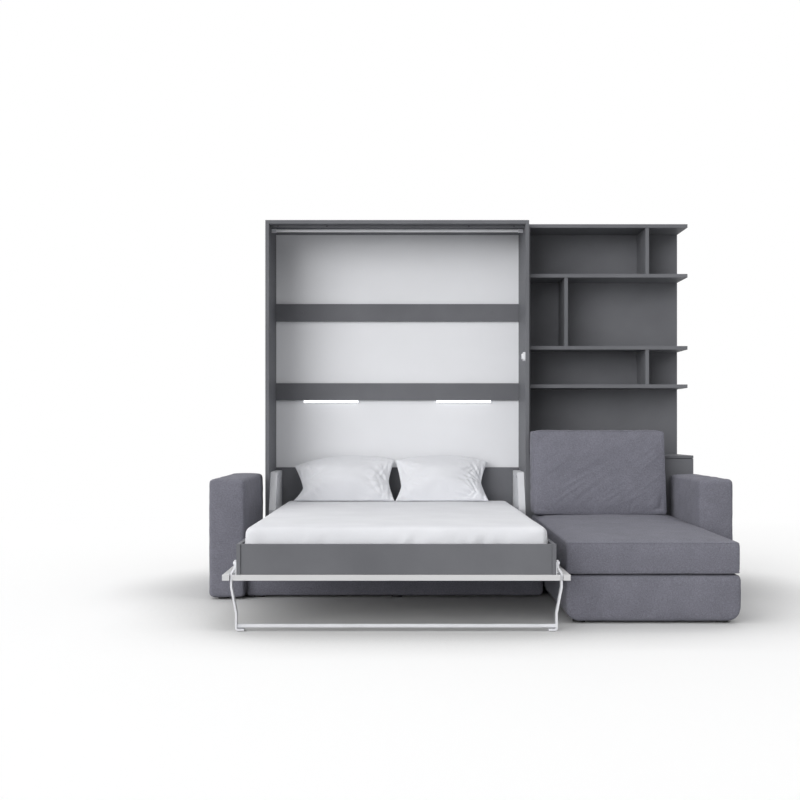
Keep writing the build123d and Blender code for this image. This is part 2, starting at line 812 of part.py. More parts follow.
base_front_u = base_depth - base_board
base_top_z = base_height - base_top_t
base_in = (case_x + base_board + joint_play, case_end_x - base_board - joint_play)
base_floor_u = (base_back_t + joint_play, base_front_u)
plinth_u = (base_front_u - plinth_set_back, base_front_u - plinth_set_back + base_board)
make_board("base_cabinet_top", (case_x, case_end_x), (0, base_depth), (base_top_z, base_height))
make_board(
    "base_cabinet_front",
    (case_x, case_end_x),
    (base_front_u, base_depth),
    (plinth_h, base_top_z - shadow_gap),
)
make_boards(
    "base_cabinet_carcase",
    [
        ((case_x, case_x + base_board), (0, base_front_u), (0, base_top_z)),
        ((case_end_x - base_board, case_end_x), (0, base_front_u), (0, base_top_z)),
        (base_in, base_floor_u, (plinth_h, plinth_h + base_board)),
        (base_in, (0, base_back_t), (plinth_h, base_top_z)),
        (base_in, plinth_u, (0, plinth_h - joint_play)),
    ],
)

# Sofa: upholstered arms with a crowned top, the base under the bed, and the chaise


def make_arm(name, x, u):
    with BuildPart() as arm:
        with BuildSketch(Plane.XZ.offset(-y_at(u[0]))):
            with BuildLine():
                Polyline((x[0], arm_height), (x[0], foot_h), (x[1], foot_h), (x[1], arm_height))
                ThreePointArc((x[0], arm_height), (middle(x), arm_height + arm_crown), (x[1], arm_height))
            make_face()
        extrude(amount=u[1] - u[0])
        fillet(arm.edges(), arm_edge)
    save(arm.part, name)


right_arm_end_x = right_arm_x + right_arm_width
make_arm("left_arm", (left_arm_outer_x, left_arm_inner_x), (left_arm_back_u, arm_front_u))
make_arm("right_arm", (right_arm_x, right_arm_end_x), (chaise_back_u, arm_front_u))


def make_block(name, x, u, z, edge):
    with BuildPart() as block:
        slab(x, u, z)
        fillet(block.edges(), edge)
    save(block.part, name)


seat_base_x = (left_arm_inner_x + sofa_gap, chaise_x - sofa_gap)
seat_base_u = (seat_base_back_u, seat_base_front_u)
chaise_spans = (chaise_x, chaise_x + chaise_width)
chaise_u = (chaise_back_u, chaise_front_u)
make_block("seat_base", seat_base_x, seat_base_u, (foot_h, seat_base_top), sofa_edge)
make_block("chaise_base", chaise_spans, chaise_u, (foot_h, chaise_base_top), sofa_edge)

with BuildPart() as chaise_cushion:
    cushion_z = chaise_base_top + soft_gap
    with BuildSketch(Plane.XZ.offset(-y_at(chaise_u[0]))):
        with BuildLine():
            Polyline(
                (chaise_spans[0], chaise_top),
                (chaise_spans[0], cushion_z),
                (chaise_spans[1], cushion_z),
                (chaise_spans[1], chaise_top),
            )
            crown_top = (middle(chaise_spans), chaise_top + cushion_crown)
            ThreePointArc((chaise_spans[0], chaise_top), crown_top, (chaise_spans[1], chaise_top))
        make_face()
    extrude(amount=chaise_u[1] - chaise_u[0])
    fillet(chaise_cushion.edges(), cushion_edge)
save(chaise_cushion.part, "chaise_seat_cushion")

back_cushion_x = (chaise_x, chaise_x + back_cushion_width)
back_cushion_z = chaise_top + cushion_crown + soft_gap
with BuildPart() as back_cushion:
    with BuildSketch(Plane.YZ.offset(back_cushion_x[0])):
        foot_back = (y_at(chaise_back_u + back_cushion_lean), back_cushion_z)
        foot_front = (y_at(chaise_back_u + back_cushion_lean + back_cushion_foot_t), back_cushion_z)
        head_z = back_cushion_z + back_cushion_height
        head_back = (y_at(chaise_back_u), head_z)
        head_front = (y_at(chaise_back_u + back_cushion_head_t), head_z)
        with BuildLine():
            Polyline(head_front, head_back, foot_back, foot_front)
            front_middle = (middle((foot_front[0], head_front[0])), middle((back_cushion_z, head_z)))
            ThreePointArc(foot_front, (front_middle[0] - back_cushion_bulge, front_middle[1]), head_front)
        make_face()
    extrude(amount=back_cushion_width)
    fillet(back_cushion.edges(), back_cushion_edge)
save(back_cushion.part, "chaise_back_cushion")

foot_spots = [
    (left_arm_outer_x + foot_inset, left_arm_back_u + foot_inset),
    (left_arm_outer_x + foot_inset, arm_front_u - foot_inset),
    (left_arm_inner_x + foot_inset, seat_base_back_u + foot_inset),
    (left_arm_inner_x + foot_inset, seat_base_front_u - foot_inset),
    (0, seat_base_back_u + foot_inset),
    (0, seat_base_front_u - foot_inset),
    (chaise_spans[0] + foot_inset, chaise_u[0] + foot_inset),
    (chaise_spans[0] + foot_inset, chaise_u[1] - foot_inset),
    (chaise_spans[1] - foot_inset, chaise_u[0] + foot_inset),
    (chaise_spans[1] - foot_inset, chaise_u[1] - foot_inset),
    (right_arm_end_x - foot_inset, chaise_u[0] + foot_inset),
    (right_arm_end_x - foot_inset, arm_front_u - foot_inset),
]
with BuildPart() as sofa_feet:
    with BuildSketch(Plane.XY):
        with Locations(*[(x, y_at(u)) for x, u in foot_spots]):
            Circle(foot_r)
    extrude(amount=foot_h)
save(sofa_feet.part, "sofa_feet")
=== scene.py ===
import json
import math

import bmesh
import bpy
from mathutils import Matrix, Vector, noise
from mathutils.bvhtree import BVHTree


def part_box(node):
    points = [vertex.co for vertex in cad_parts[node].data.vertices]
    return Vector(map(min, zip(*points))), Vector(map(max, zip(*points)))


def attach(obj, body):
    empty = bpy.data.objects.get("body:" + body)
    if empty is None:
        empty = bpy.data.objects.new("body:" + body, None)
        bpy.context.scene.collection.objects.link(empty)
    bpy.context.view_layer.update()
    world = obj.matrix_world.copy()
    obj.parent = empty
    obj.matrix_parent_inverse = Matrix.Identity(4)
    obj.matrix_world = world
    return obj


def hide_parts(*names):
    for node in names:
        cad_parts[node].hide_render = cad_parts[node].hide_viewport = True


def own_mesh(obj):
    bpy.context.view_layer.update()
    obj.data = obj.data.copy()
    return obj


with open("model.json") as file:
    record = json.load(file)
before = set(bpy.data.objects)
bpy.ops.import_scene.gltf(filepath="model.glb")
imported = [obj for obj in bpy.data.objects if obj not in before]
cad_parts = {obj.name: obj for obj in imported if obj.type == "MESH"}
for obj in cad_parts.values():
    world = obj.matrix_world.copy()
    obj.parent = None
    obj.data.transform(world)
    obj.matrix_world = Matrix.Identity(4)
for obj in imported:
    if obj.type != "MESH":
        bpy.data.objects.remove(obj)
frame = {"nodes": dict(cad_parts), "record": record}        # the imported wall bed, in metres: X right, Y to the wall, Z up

nodes = frame["nodes"]
scene = bpy.context.scene
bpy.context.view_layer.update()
print("frame loaded:", len(nodes), "CAD nodes")


# small helpers for node trees

def paint(red, green, blue):
    return [((c / 255 + 0.055) / 1.055) ** 2.4 for c in (red, green, blue)] + [1.0]


def addNode(tree, kind, inputs=None, **settings):
    node = tree.nodes.new(kind)
    for key, value in settings.items():
        setattr(node, key, value)
    for key, value in (inputs or {}).items():
        if isinstance(value, bpy.types.NodeSocket):
            tree.links.new(value, node.inputs[key])
        else:
            node.inputs[key].default_value = value
    return node


def startFinish(name, roughness, metallic=0.0):
    material = bpy.data.materials.new(name)
    material.use_nodes = True
    shader = material.node_tree.nodes["Principled BSDF"]
    shader.inputs["Roughness"].default_value = roughness
    shader.inputs["Metallic"].default_value = metallic
    return material, material.node_tree, shader


def objectPlace(tree, stretch=(1, 1, 1), turn=(0, 0, 0)):
    coords = addNode(tree, "ShaderNodeTexCoord")
    mapping = addNode(
        tree, "ShaderNodeMapping", {"Vector": coords.outputs["Object"], "Scale": stretch, "Rotation": turn}
    )
    return mapping.outputs["Vector"]


def noiseOf(tree, place, scale, detail=2.0, rough=0.5):
    inputs = {"Vector": place, "Scale": scale, "Detail": detail, "Roughness": rough}
    return addNode(tree, "ShaderNodeTexNoise", inputs).outputs["Fac"]


def threads(tree, place, direction, pitch):
    perMetre = 1 / pitch / 3.2      # a wave texture has about 3.2 bands to a unit
    inputs = {"Vector": place, "Scale": perMetre, "Distortion": 0.4, "Detail": 1.0, "Detail Scale": 2.0}
    node = addNode(tree, "ShaderNodeTexWave", inputs, wave_type="BANDS", bands_direction=direction)
    return node.outputs["Fac"]


def sums(tree, *values):
    total = values[0]
    for value in values[1:]:
        total = addNode(tree, "ShaderNodeMath", {0: total, 1: value}, operation="ADD").outputs[0]
    return total


def times(tree, value, factor):
    return addNode(tree, "ShaderNodeMath", {0: value, 1: factor}, operation="MULTIPLY").outputs[0]


def larger(tree, one, other):
    return addNode(tree, "ShaderNodeMath", {0: one, 1: other}, operation="MAXIMUM").outputs[0]


def spread(tree, value, low, high, fromLow=0.3, fromHigh=0.7):
    inputs = {"Value": value, "From Min": fromLow, "From Max": fromHigh, "To Min": low, "To Max": high}
    return addNode(tree, "ShaderNodeMapRange", inputs).outputs["Result"]


def shades(tree, value, *stops):
    ramp = addNode(tree, "ShaderNodeValToRGB", {"Fac": value})
    elements = ramp.color_ramp.elements
    while len(elements) < len(stops):
        elements.new(0.5)
    for element, (place, colour) in zip(elements, stops):
        element.position = place
        element.color = colour
    return ramp.outputs["Color"]


def bumpOf(tree, height, distance, under=None):
    inputs = {"Height": height, "Distance": distance}
    if under is not None:
        inputs["Normal"] = under
    return addNode(tree, "ShaderNodeBump", inputs).outputs["Normal"]


def feed(tree, shader, **sockets):
    for name, value in sockets.items():
        tree.links.new(value, shader.inputs[name.replace("_", " ")])


def seenRays(tree):
    # camera, glossy and transmission rays, which show the white backdrop
    path = addNode(tree, "ShaderNodeLightPath").outputs
    mirrored = larger(tree, path["Is Glossy Ray"], path["Is Transmission Ray"])
    return larger(tree, path["Is Camera Ray"], mirrored)


# finishes, one function for each kind of surface

def laminate(name, dark, light):
    material, tree, shader = startFinish(name, roughness=0.46)
    shader.inputs["Specular IOR Level"].default_value = 0.05
    place = objectPlace(tree)
    cloudy = noiseOf(tree, place, scale=3.0, detail=4.0)
    speckle = noiseOf(tree, place, scale=420.0, detail=2.0)
    pores = noiseOf(tree, place, scale=900.0, detail=1.0)
    mixed = sums(tree, times(tree, cloudy, 0.7), times(tree, speckle, 0.3))
    feed(
        tree,
        shader,
        Base_Color=shades(tree, mixed, (0.36, dark), (0.64, light)),
        Roughness=spread(tree, sums(tree, times(tree, speckle, 0.6), times(tree, cloudy, 0.4)), 0.4, 0.54),
        Normal=bumpOf(tree, pores, distance=0.00025),
    )
    return material


def timber(name, dark, light, along):
    material, tree, shader = startFinish(name, roughness=0.6)
    grain = [9.0, 9.0, 9.0]
    grain[along] = 0.6
    fibres = [60.0, 60.0, 60.0]
    fibres[along] = 2.0
    rings = noiseOf(tree, objectPlace(tree, grain), scale=3.0, detail=3.0, rough=0.6)
    strands = noiseOf(tree, objectPlace(tree, fibres), scale=6.0, detail=3.0, rough=0.65)
    mixed = sums(tree, times(tree, rings, 0.65), times(tree, strands, 0.35))
    feed(
        tree,
        shader,
        Base_Color=shades(tree, mixed, (0.38, dark), (0.62, light)),
        Roughness=spread(tree, strands, low=0.5, high=0.7),
        Normal=bumpOf(tree, strands, distance=0.0004),
    )
    return material


def powderCoat(name, dark, light, roughness):
    material, tree, shader = startFinish(name, roughness)
    place = objectPlace(tree)
    peel = noiseOf(tree, place, scale=520.0, detail=2.0)
    cloudy = noiseOf(tree, place, scale=9.0, detail=3.0)
    mixed = sums(tree, times(tree, peel, 0.4), times(tree, cloudy, 0.6))
    feed(
        tree,
        shader,
        Base_Color=shades(tree, mixed, (0.36, dark), (0.64, light)),
        Roughness=spread(tree, cloudy, roughness - 0.06, roughness + 0.06),
        Normal=bumpOf(tree, peel, distance=0.0003),
    )
    return material


def bareMetal(name, dark, light, roughness, along):
    material, tree, shader = startFinish(name, roughness, 1.0)
    stretch = [160.0, 160.0, 160.0]
    stretch[along] = 4.0
    brushing = noiseOf(tree, objectPlace(tree, stretch), scale=8.0, detail=3.0, rough=0.7)
    feed(
        tree,
        shader,
        Base_Color=shades(tree, brushing, (0.35, dark), (0.65, light)),
        Roughness=spread(tree, brushing, roughness - 0.08, roughness + 0.1),
        Normal=bumpOf(tree, brushing, distance=0.0001),
    )
    return material


def plastic(name, dark, light, roughness):
    material, tree, shader = startFinish(name, roughness)
    place = objectPlace(tree)
    spark = noiseOf(tree, place, scale=1400.0, detail=1.0)
    cloudy = noiseOf(tree, place, scale=24.0, detail=2.0)
    feed(
        tree,
        shader,
        Base_Color=shades(tree, cloudy, (0.38, dark), (0.62, light)),
        Roughness=spread(tree, spark, roughness - 0.05, roughness + 0.08),
        Normal=bumpOf(tree, spark, distance=0.00015),
    )
    return material


def glowStrip(name):
    material, tree, shader = startFinish(name, roughness=0.4)
    dots = noiseOf(tree, objectPlace(tree, (60, 1, 1)), scale=4.0, detail=1.0)
    tint = shades(tree, dots, (0.3, paint(232, 236, 240)), (0.7, paint(246, 248, 250)))
    feed(tree, shader, Base_Color=tint, Emission_Color=tint)
    shader.inputs["Emission Strength"].default_value = 1.6
    return material


def wovenHeight(tree, place, pitch):
    return sums(tree, *[threads(tree, place, direction, pitch) for direction in "XYZ"])


def bedLinen(name):
    material, tree, shader = startFinish(name, roughness=0.82)
    place = objectPlace(tree)
    slubs = noiseOf(tree, objectPlace(tree, (30, 260, 260)), scale=4.0, detail=2.0)
    cloudy = noiseOf(tree, place, scale=5.0, detail=3.0)
    tone = sums(tree, times(tree, slubs, 0.35), times(tree, cloudy, 0.65))
    soft = bumpOf(tree, noiseOf(tree, place, scale=34.0, detail=2.0), distance=0.0008)
    weave = times(tree, wovenHeight(tree, place, pitch=0.0009), 0.33)
    feed(
        tree,
        shader,
        Base_Color=shades(tree, tone, (0.36, paint(219, 220, 224)), (0.64, paint(226, 227, 231))),
        Roughness=spread(tree, slubs, low=0.76, high=0.9),
        Normal=bumpOf(tree, weave, distance=0.00025, under=soft),
    )
    shader.inputs["Specular IOR Level"].default_value = 0.2
    shader.inputs["Sheen Weight"].default_value = 0.12
    shader.inputs["Sheen Roughness"].default_value = 0.5
    return material


def sofaCloth(name):
    material, tree, shader = startFinish(name, roughness=0.9)
    place = objectPlace(tree)
    slubs = noiseOf(tree, place, scale=340.0, detail=3.0, rough=0.7)
    melange = noiseOf(tree, place, scale=150.0, detail=3.0, rough=0.6)
    cloudy = noiseOf(tree, place, scale=11.0, detail=3.0)
    yarns = sums(tree, times(tree, slubs, 0.45), times(tree, melange, 0.4), times(tree, cloudy, 0.15))
    nap = bumpOf(tree, melange, distance=0.0016)
    tint = shades(
        tree, yarns, (0.38, paint(103, 103, 112)), (0.5, paint(117, 117, 127)), (0.62, paint(131, 131, 141))
    )
    weave = sums(tree, times(tree, wovenHeight(tree, place, pitch=0.0021), 0.2), slubs)
    feed(
        tree,
        shader,
        Base_Color=tint,
        Roughness=spread(tree, melange, low=0.82, high=0.96),
        Normal=bumpOf(tree, weave, distance=0.0011, under=nap),
    )
    shader.inputs["Specular IOR Level"].default_value = 0.15
    shader.inputs["Sheen Weight"].default_value = 0.06
    shader.inputs["Sheen Roughness"].default_value = 0.45
    return material


finishes = {
    "anthracite_laminate": laminate("anthraciteLaminate", paint(104, 105, 109), paint(114, 115, 119)),
    "white_laminate": laminate("whiteLaminate", paint(228, 229, 232), paint(231, 232, 235)),
    "plain_timber": timber("plainTimber", paint(176, 141, 98), paint(206, 174, 130), along=0),
    "birch_slats": timber("birchSlats", paint(196, 164, 118), paint(222, 194, 150), along=0),
    "white_steel": powderCoat("whiteSteel", paint(214, 215, 219), paint(226, 227, 231), roughness=0.4),
    "zinc_steel": bareMetal("zincSteel", paint(172, 174, 178), paint(202, 204, 208), roughness=0.38, along=0),
    "rod_steel": bareMetal("rodSteel", paint(190, 191, 194), paint(214, 215, 218), roughness=0.18, along=2),
    "black_steel": powderCoat("blackSteel", paint(28, 28, 30), paint(38, 38, 40), roughness=0.45),
    "bronze": bareMetal("bearingBronze", paint(168, 128, 72), paint(198, 160, 98), roughness=0.42, along=0),
    "light_channel": bareMetal(
        "lightChannel", paint(196, 197, 200), paint(216, 217, 220), roughness=0.4, along=0
    ),
    "light_diffuser": glowStrip("lightDiffuser"),
    "white_plastic": plastic("whitePlastic", paint(214, 215, 218), paint(224, 225, 228), roughness=0.38),
    "black_plastic": plastic("blackPlastic", paint(26, 26, 27), paint(34, 34, 35), roughness=0.6),
    "bed_linen": bedLinen("bedLinen"),
    "sofa_fabric": sofaCloth("sofaFabric"),
}
ownTonesAndPaintedHighlight = {      # nodes whose shade differs from the rest of their slot
    "front_panel": laminate("panelLaminate", paint(206, 206, 207), paint(210, 210, 211)),
    # the stiffener bar is a brighter copy of the white steel: painted highlight, lifting the bar where it
    # sits in the shade under the top
    "stiffener_bar": powderCoat("barCoat", paint(245, 246, 249), paint(251, 252, 253), roughness=0.34),
}
for part in frame["record"]["subparts"]:
    node = nodes[part["node"]]
    node.data.materials.clear()
    node.data.materials.append(ownTonesAndPaintedHighlight.get(part["node"], finishes[part["material_slot"]]))
print("finishes:", len(finishes) + len(ownTonesAndPaintedHighlight))


# camera and studio, measured from the photograph's edges

camera = {
    "x": 0.0165, "fromWall": 7.40, "height": 0.9217,
    "focal": 1161.0, "image": 800.0, "horizonDrop": 28.5,
}
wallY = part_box("cabinet_left_side")[1].y

lens = bpy.data.cameras.new("camera")
lens.sensor_width = 36.0
lens.lens = camera["focal"] * lens.sensor_width / camera["image"]
lens.shift_y = camera["horizonDrop"] / camera["image"]
viewer = bpy.data.objects.new("camera", lens)
viewer.location = (camera["x"], wallY - camera["fromWall"], camera["height"])
viewer.rotation_euler = (math.pi / 2, 0, 0)
scene.collection.objects.link(viewer)
scene.camera = viewer
scene.view_settings.view_transform = "Standard"

# painted shade: an ambient occlusion node darkens the floor's colour near the object, within the reach given
# in studio and down to the darkest tone given there;
# it fades to white from fadeStart to floorEnd behind the wall
studio = {
    "fill": 0.03, "floor": 0.975, "bounce": paint(190, 190, 190), "paintedShadeReach": 0.72, "paintedShadeFloor": 0.67,
    "floorEnd": 4.3, "fadeStart": 0.4, "floorReach": 30.0,
}
lamps = {
    "keyLamp": {"from": (-0.54, -0.83, 0.12), "softness": 42.0, "strength": 1.76},
    "topLamp": {"from": (-0.25, -0.12, 0.96), "softness": 150.0, "strength": 2.95},
}

world = bpy.data.worlds.new("studio")
world.use_nodes = True
scene.world = world
tree = world.node_tree
tree.nodes.clear()
fill = addNode(tree, "ShaderNodeBackground", {"Color": (1, 1, 1, 1), "Strength": studio["fill"]})
white = addNode(tree, "ShaderNodeBackground", {"Color": (1, 1, 1, 1), "Strength": 1.0})
mixed = addNode(tree, "ShaderNodeMixShader", {0: seenRays(tree), 1: fill.outputs[0], 2: white.outputs[0]})
addNode(tree, "ShaderNodeOutputWorld", {"Surface": mixed.outputs[0]})

for name, lamp in lamps.items():
    light = bpy.data.lights.new(name, "SUN")
    light.angle = math.radians(lamp["softness"])
    light.energy = lamp["strength"]
    holder = bpy.data.objects.new(name, light)
    holder.rotation_euler = (-Vector(lamp["from"])).to_track_quat("-Z", "Y").to_euler()
    scene.collection.objects.link(holder)

bm = bmesh.new()
bmesh.ops.create_grid(bm, x_segments=1, y_segments=1, size=1.0)
bmesh.ops.scale(bm, vec=(studio["floorReach"], studio["floorReach"] / 2, 1), verts=bm.verts)
floorMiddle = wallY + studio["floorEnd"] - studio["floorReach"] / 2
bmesh.ops.translate(bm, vec=(0, floorMiddle, 0), verts=bm.verts)
floorMesh = bpy.data.meshes.new("studioFloor")
bm.to_mesh(floorMesh)
bm.free()
floorPaint, tree, shader = startFinish("studioFloor", roughness=0.9)
shader.inputs["Specular IOR Level"].default_value = 0.1
seen = seenRays(tree)
seenFloor = addNode(tree, "ShaderNodeMix", {0: seen}, data_type="RGBA")
seenFloor.inputs["A"].default_value = studio["bounce"]
# painted shade on the floor around the object, from an ambient occlusion node multiplying its colour
near = addNode(tree, "ShaderNodeAmbientOcclusion", {"Distance": studio["paintedShadeReach"]}, samples=12)
paintedShadeTone = times(tree, near.outputs["AO"], studio["floor"])
tree.links.new(larger(tree, paintedShadeTone, studio["paintedShadeFloor"]), seenFloor.inputs["B"])
feed(tree, shader, Base_Color=seenFloor.outputs["Result"])
axes = addNode(tree, "ShaderNodeSeparateXYZ", {"Vector": objectPlace(tree)}).outputs
behind = spread(tree, axes["Y"], 0.0, 1.0, wallY + studio["fadeStart"], wallY + studio["floorEnd"])
whiteFar = times(tree, behind, seen)
shining = addNode(tree, "ShaderNodeEmission", {"Color": (1, 1, 1, 1), "Strength": 1.0})
faded = addNode(tree, "ShaderNodeMixShader", {0: whiteFar, 1: shader.outputs[0], 2: shining.outputs[0]})
tree.links.new(faded.outputs[0], tree.nodes["Material Output"].inputs["Surface"])
floorMesh.materials.append(floorPaint)
floor = bpy.data.objects.new("studioFloor", floorMesh)
scene.collection.objects.link(floor)
print("studio: camera, floor and", len(lamps), "lamps")


# tools for soft pieces

def newPiece(name, bm, finish):
    mesh = bpy.data.meshes.new(name)
    bm.to_mesh(mesh)
    bm.free()
    mesh.materials.append(finishes[finish])
    piece = bpy.data.objects.new(name, mesh)
    scene.collection.objects.link(piece)
    return piece


def bakeModifiers(piece):
    graph = bpy.context.evaluated_depsgraph_get()
    old = piece.data
    piece.data = bpy.data.meshes.new_from_object(piece.evaluated_get(graph))
    piece.modifiers.clear()
    bpy.data.meshes.remove(old)


def remesh(piece, voxel):
    voxels = piece.modifiers.new("voxels", "REMESH")
    voxels.mode = "VOXEL"
    voxels.voxel_size = voxel
    bakeModifiers(piece)


def smoothFinish(piece):
    for face in piece.data.polygons:
        face.use_smooth = True
    rounding = piece.modifiers.new("rounding", "SUBSURF")
    rounding.levels = 1
    rounding.render_levels = 1


def bevelEdges(bm, edges, radius, segments):
    bmesh.ops.bevel(
        bm, geom=edges, offset=radius, offset_type="OFFSET", segments=segments,
        profile=0.5, affect="EDGES", material=-1,
    )


sharpAngle = 0.6      # radians; the facets of a rounded lower edge meet at less


def blockShape(lo, hi, radius, segments=3, lowRadius=0.0):
    # a box with rounded edges; lowRadius rounds its long lower edges further
    bm = bmesh.new()
    bmesh.ops.create_cube(bm, size=1.0)
    bmesh.ops.scale(bm, vec=hi - lo, verts=bm.verts)
    bmesh.ops.translate(bm, vec=(lo + hi) / 2, verts=bm.verts)
    if lowRadius:
        low = [e for e in bm.edges if all(abs(v.co.z - lo.z) < 1e-6 for v in e.verts)]
        long = [e for e in low if abs(e.verts[0].co.y - e.verts[1].co.y) > 0.01]
        bevelEdges(bm, long, lowRadius, segments=6)
        sharp = [e for e in bm.edges if e.calc_face_angle(0.0) > sharpAngle]
        bevelEdges(bm, sharp, radius, segments)
    else:
        bevelEdges(bm, bm.edges[:], radius, segments)
    return bm


def weightGroup(piece, name, weightAt):
    group = piece.vertex_groups.new(name=name)
    for vertex in piece.data.vertices:
        weight = weightAt(vertex.co)
        if weight > 0.001:
            group.add([vertex.index], min(weight, 1.0), "REPLACE")
    return group.name


def nearEdges(lo, hi, margin):
    # weight 1 on a box's edges, fading to 0 at the margin
    def weight(co):
        gaps = sorted(min(co[i] - lo[i], hi[i] - co[i]) for i in range(3))
        return 1.0 - max(gaps[1], 0.0) / margin
    return weight


# what a piece's own dictionary doesn't set for its run
clothBasics = {
    "quality": 5, "mass": 0.3, "tension": 25, "compression": 25, "shear": 8, "bending": 0.5, "shrink": 0,
}


def simulate(piece, spec, held=None, loose=None):
    # a short pressure run; each point's travel is then eased under the cap
    run = {**clothBasics, **spec}
    start = [vertex.co.copy() for vertex in piece.data.vertices]
    cloth = piece.modifiers.new("cloth", "CLOTH")
    settings = cloth.settings
    settings.quality = run["quality"]
    settings.mass = run["mass"]
    settings.tension_stiffness = run["tension"]
    settings.compression_stiffness = run["compression"]
    settings.shear_stiffness = run["shear"]
    settings.bending_stiffness = run["bending"]
    settings.use_pressure = True
    settings.uniform_pressure_force = run["pressure"]
    settings.effector_weights.gravity = 0
    settings.shrink_min = run["shrink"]
    if held:
        settings.vertex_group_mass = weightGroup(piece, "held", held)
    if loose:
        settings.vertex_group_shrink = weightGroup(piece, "loose", loose)
        settings.shrink_max = run["looseShrink"]
    cloth.collision_settings.use_collision = False
    cloth.point_cache.frame_start = 1
    cloth.point_cache.frame_end = run["frames"]
    for number in range(1, run["frames"] + 1):
        scene.frame_set(number)
    graph = bpy.context.evaluated_depsgraph_get()
    worked = piece.evaluated_get(graph).to_mesh()
    ends = [vertex.co.copy() for vertex in worked.vertices]
    piece.modifiers.clear()
    piece.vertex_groups.clear()
    scene.frame_set(1)
    cap = run["cap"]
    for vertex, before, after in zip(piece.data.vertices, start, ends):
        step = after - before
        travel = step.length
        if travel > 1e-9:
            vertex.co = before + step * (cap * math.tanh(travel / cap) / travel)
    piece.data.update()


slackSink = 0.4      # slack cloth lies mostly below the smooth shape


def rumple(piece, depth, pitch, seed):
    # shallow unevenness along the normals, so that pressed cloth isn't a flat plate
    places = [vertex.co.copy() for vertex in piece.data.vertices]
    normals = [vertex.normal.copy() for vertex in piece.data.vertices]
    for vertex, place, normal in zip(piece.data.vertices, places, normals):
        spot = Vector([place[i] * pitch[i] for i in range(3)]) + Vector((0, 0, seed))
        vertex.co = place + normal * (depth * (noise.noise(spot) - slackSink))


def finishSoft(piece, body, node):
    smoothFinish(piece)
    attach(piece, body)
    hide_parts(node)
    print("soft piece:", piece.name, len(piece.data.vertices), "points")


# upholstered blocks of the sofa: arms, base under the bed, chaise base

sofaBlocks = [
    {
        "node": "left_arm", "edge": 0.023, "voxel": 0.011, "swell": 0.010, "slack": 0.0012, "low": 0.0,
        "grow": (0.003, 0.009),
    },
    {
        "node": "right_arm", "edge": 0.023, "voxel": 0.011, "swell": 0.010, "slack": 0.0012, "low": 0.0,
        "grow": (0, 0.011),
    },
    {
        "node": "seat_base", "edge": 0.02, "voxel": 0.014, "swell": 0.003, "slack": 0.001, "low": 0.0,
        "grow": (0, 0),
    },
    {
        "node": "chaise_base", "edge": 0.018, "voxel": 0.012, "swell": 0.006, "slack": 0.0012, "low": 0.062,
        "grow": (0, 0.007),
    },
]
blockRun = {
    "pressure": 3.5, "frames": 12, "hold": 0.04, "slackPitch": (7.0, 7.0, 9.0), "slackSeed": 2.7,
    "crinkle": 0.0015, "crinklePitch": (17.0, 17.0, 24.0), "crinkleSeed": 8.1,
}


def sofaBlock(spec):
    lo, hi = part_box(spec["node"])
    lo.x -= spec["grow"][0]
    hi.x += spec["grow"][1]
    bm = blockShape(lo, hi, spec["edge"], lowRadius=spec["low"])
    piece = newPiece(spec["node"] + "_upholstery", bm, "sofa_fabric")
    remesh(piece, spec["voxel"])
    rumple(piece, spec["slack"], blockRun["slackPitch"], blockRun["slackSeed"])
    simulate(piece, {**blockRun, "cap": spec["swell"]}, held=nearEdges(lo, hi, blockRun["hold"]))
    rumple(piece, blockRun["crinkle"], blockRun["crinklePitch"], blockRun["crinkleSeed"])
    finishSoft(piece, "cabinet", spec["node"])


for spec in sofaBlocks:
    sofaBlock(spec)


def welt(name, points, radius, host, finish):
    # a thin sewn cord along a loop of points, laid on the host's surface
    hostShape = bmesh.new()
    hostShape.from_mesh(host.data)
    tree = BVHTree.FromBMesh(hostShape)
    hostShape.free()
    line = bpy.data.curves.new(name, "CURVE")
    line.dimensions = "3D"
    spline = line.splines.new("POLY")
    spline.points.add(len(points) - 1)
    for point, spot in zip(spline.points, points):
        point.co = (*tree.find_nearest(spot)[0], 1.0)
    spline.use_cyclic_u = True
    line.bevel_depth = radius
    line.bevel_resolution = 2
    curve = bpy.data.objects.new(name, line)
    scene.collection.objects.link(curve)
    graph = bpy.context.evaluated_depsgraph_get()
    mesh = bpy.data.meshes.new_from_object(curve.evaluated_get(graph))
    bpy.data.objects.remove(curve)
    mesh.materials.clear()
    mesh.materials.append(finishes[finish])
    for face in mesh.polygons:
        face.use_smooth = True
    piece = bpy.data.objects.new(name, mesh)
    scene.collection.objects.link(piece)
    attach(piece, "cabinet")


def roundedLoop(width, length, radius, step):
    # points round a rectangle with rounded corners, centred on the origin
    bm = bmesh.new()
    bmesh.ops.create_grid(bm, x_segments=1, y_segments=1, size=0.5)
    bmesh.ops.scale(bm, vec=(width, length, 1), verts=bm.verts)
    bmesh.ops.bevel(
        bm, geom=bm.verts[:], offset=radius, offset_type="OFFSET", segments=6,
        profile=0.5, affect="VERTICES", material=-1,
    )
    corners = [loop.vert.co.copy() for loop in bm.faces[:][0].loops]
    bm.free()
    points = []
    for here, there in zip(corners, corners[1:] + corners[:1]):
        cuts = max(1, round((there - here).length / step))
        points += [here.lerp(there, i / cuts) for i in range(cuts)]
    return points


# chaise seat cushion: crowned top that rises a little to the back, crisp sewn edges

seatCushion = {
    "node": "chaise_seat_cushion", "edge": 0.014, "voxel": 0.0120,
    "lift": 0.002, "frontTop": 0.386, "backTop": 0.411,
    "pressure": 3.0, "frames": 12, "cap": 0.006, "hold": 0.04,
    "slack": 0.0016, "slackPitch": (9.0, 6.0, 9.0), "slackSeed": 5.3,
    "crown": 0.009, "crownAcross": 4, "crownAlong": 6, "crownUp": 4,      # powers: a higher one is flatter
    "weltRadius": 0.0022, "weltStep": 0.03, "weltDown": 0.003, "weltUp": 0.005,
}


